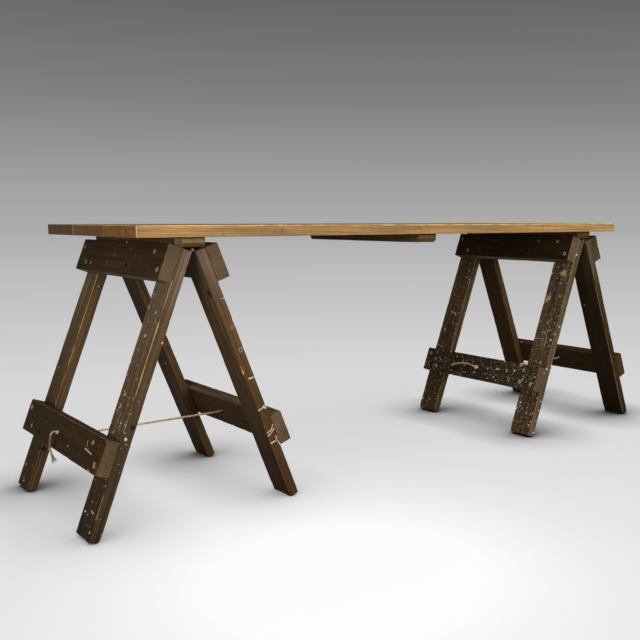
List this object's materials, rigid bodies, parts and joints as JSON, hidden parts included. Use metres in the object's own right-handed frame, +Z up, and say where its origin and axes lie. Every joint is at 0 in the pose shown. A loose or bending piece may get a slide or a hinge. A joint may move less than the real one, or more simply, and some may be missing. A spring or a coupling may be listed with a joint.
{
  "type": "folding trestle table",
  "caption": "Folding trestle table: a loose plank top with cross battens rests on hinged A-frame trestles that are held open by rope stays.",
  "frame": {"origin": "on the floor, midway between the two trestles and midway across the top", "axes": "+X along the top, +Y across it to the back, +Z up"},
  "size_m": [2.1272, 0.675, 0.7604],
  "materials": {
    "honey_pine": "waxed, worn",
    "batten_pine": "bare, aged",
    "stained_pine": "dark stain, paint-specked and worn",
    "hinge_iron": "black, rusted",
    "pin_steel": "dull",
    "screw_steel": "dull, paint-dabbed",
    "rope_hemp": "laid natural fibre"
  },
  "bodies": {
    "left_outer_frame": {"left_outer_front_leg": "stained_pine", "left_outer_back_leg": "stained_pine", "left_outer_top_rail": "stained_pine", "left_outer_lower_rail": "stained_pine", "left_outer_rail_screws": "screw_steel", "left_front_hinge_outer_leaf": "hinge_iron", "left_front_hinge_pin": "pin_steel", "left_back_hinge_outer_leaf": "hinge_iron", "left_back_hinge_pin": "pin_steel", "left_outer_hinge_screws": "screw_steel", "left_rope_span": "rope_hemp", "left_rope_tail": "rope_hemp", "left_rope_outer_knot": "rope_hemp"},
    "left_inner_frame": {"left_inner_front_leg": "stained_pine", "left_inner_back_leg": "stained_pine", "left_inner_top_rail": "stained_pine", "left_inner_lower_rail": "stained_pine", "left_inner_rail_screws": "screw_steel", "left_front_hinge_inner_leaf": "hinge_iron", "left_back_hinge_inner_leaf": "hinge_iron", "left_inner_hinge_screws": "screw_steel", "left_rope_inner_knot": "rope_hemp"},
    "table_top": {"top_board_front": "honey_pine", "top_board_middle": "honey_pine", "top_board_back": "honey_pine", "left_batten": "batten_pine", "middle_batten": "batten_pine", "right_batten": "batten_pine", "batten_screws": "screw_steel"},
    "right_outer_frame": {"right_outer_front_leg": "stained_pine", "right_outer_back_leg": "stained_pine", "right_outer_top_rail": "stained_pine", "right_outer_lower_rail": "stained_pine", "right_outer_rail_screws": "screw_steel", "right_front_hinge_outer_leaf": "hinge_iron", "right_front_hinge_pin": "pin_steel", "right_back_hinge_outer_leaf": "hinge_iron", "right_back_hinge_pin": "pin_steel", "right_outer_hinge_screws": "screw_steel", "right_rope_outer_knot": "rope_hemp"},
    "right_inner_frame": {"right_inner_front_leg": "stained_pine", "right_inner_back_leg": "stained_pine", "right_inner_top_rail": "stained_pine", "right_inner_lower_rail": "stained_pine", "right_inner_rail_screws": "screw_steel", "right_front_hinge_inner_leaf": "hinge_iron", "right_back_hinge_inner_leaf": "hinge_iron", "right_inner_hinge_screws": "screw_steel", "right_rope_span": "rope_hemp", "right_rope_stitch": "rope_hemp", "right_rope_stitch_knot": "rope_hemp"}
  },
  "joints": [
    {"name": "left_fold", "type": "hinge", "parent": "left_outer_frame", "child": "left_inner_frame", "pos_m": [-0.771, 0, 0.69806], "axis": [0, 1, 0], "range_deg": [0, 41], "deforming": ["left_rope_span"]},
    {"name": "top_lift", "type": "slide", "parent": "left_outer_frame", "child": "table_top", "axis": [0, 0, 1], "range_m": [0, 0.3]},
    {"name": "right_shift", "type": "slide", "parent": "left_outer_frame", "child": "right_outer_frame", "axis": [0, 1, 0], "range_m": [-0.035, 0.035]},
    {"name": "right_fold", "type": "hinge", "parent": "right_outer_frame", "child": "right_inner_frame", "pos_m": [0.771, 0, 0.69806], "axis": [0, -1, 0], "range_deg": [0, 41], "deforming": ["right_rope_span"]}
  ]
}
